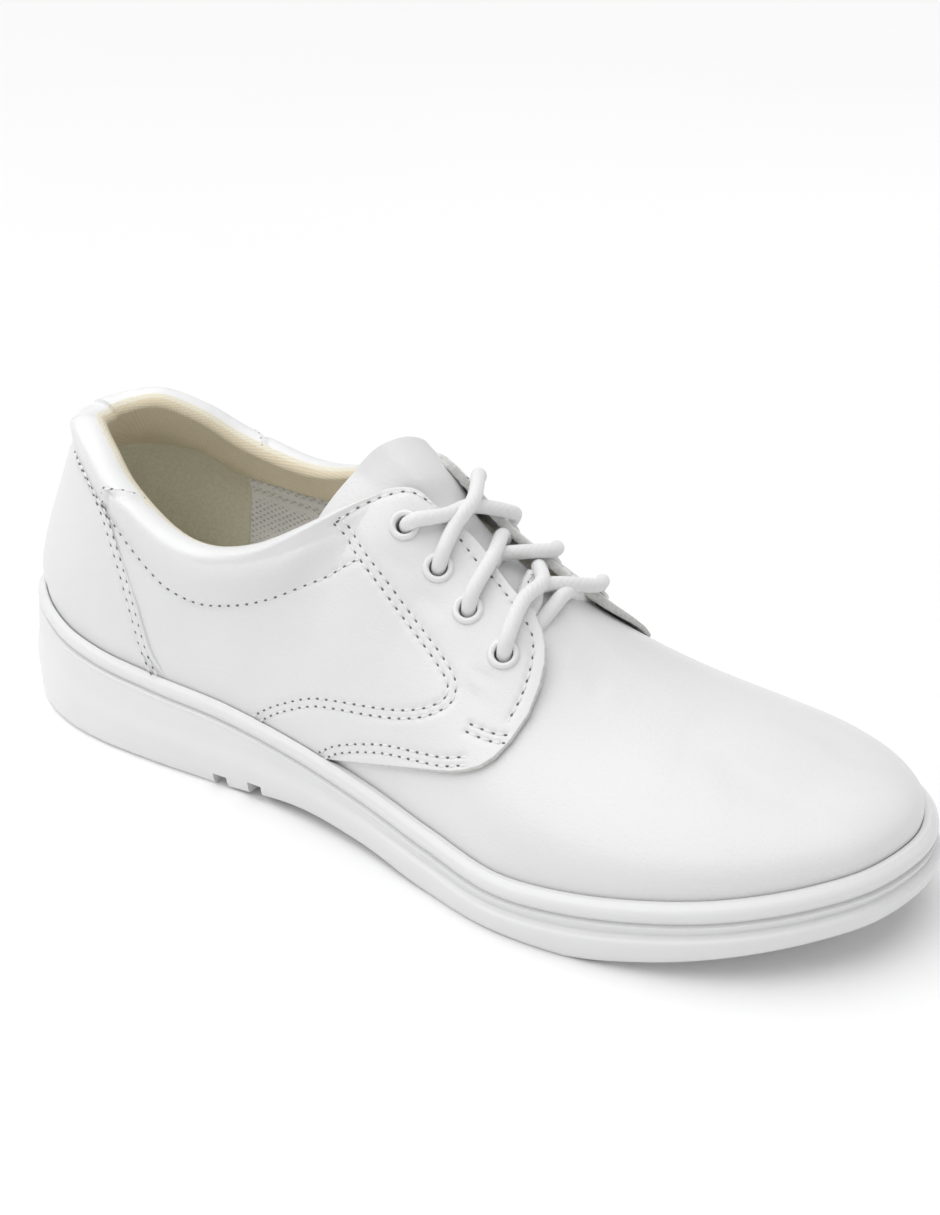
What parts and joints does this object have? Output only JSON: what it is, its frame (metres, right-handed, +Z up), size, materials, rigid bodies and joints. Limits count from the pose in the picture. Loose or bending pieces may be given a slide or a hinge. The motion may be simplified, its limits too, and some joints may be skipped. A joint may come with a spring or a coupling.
{
  "type": "lace-up dress shoe",
  "caption": "Low white leather lace-up derby shoe for the right foot, with a padded collar, a padded tongue and a moulded sole with a low heel.",
  "frame": {"origin": "on the ground under the middle of the heel", "axes": "+X towards the toe, +Y towards the foot's inner side, +Z up"},
  "size_m": [0.2893, 0.1139, 0.098],
  "materials": {
    "leather": "smooth white leather with a soft gloss",
    "moulded_sole": "white satin moulded sole",
    "footbed": "matt cream footbed",
    "enamelled_eyelet": "white enamel, glossy",
    "lace": "matt white round woven cord"
  },
  "bodies": {
    "root": {"outsole": "moulded_sole", "insole": "footbed", "upper": "leather", "tongue": "leather", "quarter_outer": "leather", "quarter_inner": "leather", "heel_counter": "leather", "eyelet_outer_1": "enamelled_eyelet", "eyelet_outer_2": "enamelled_eyelet", "eyelet_outer_3": "enamelled_eyelet", "eyelet_outer_4": "enamelled_eyelet", "eyelet_inner_1": "enamelled_eyelet", "eyelet_inner_2": "enamelled_eyelet", "eyelet_inner_3": "enamelled_eyelet", "eyelet_inner_4": "enamelled_eyelet", "lace_top_crossing": "lace", "lace_middle_crossing": "lace", "lace_low_crossing": "lace", "lace_bar": "lace"}
  },
  "joints": []
}
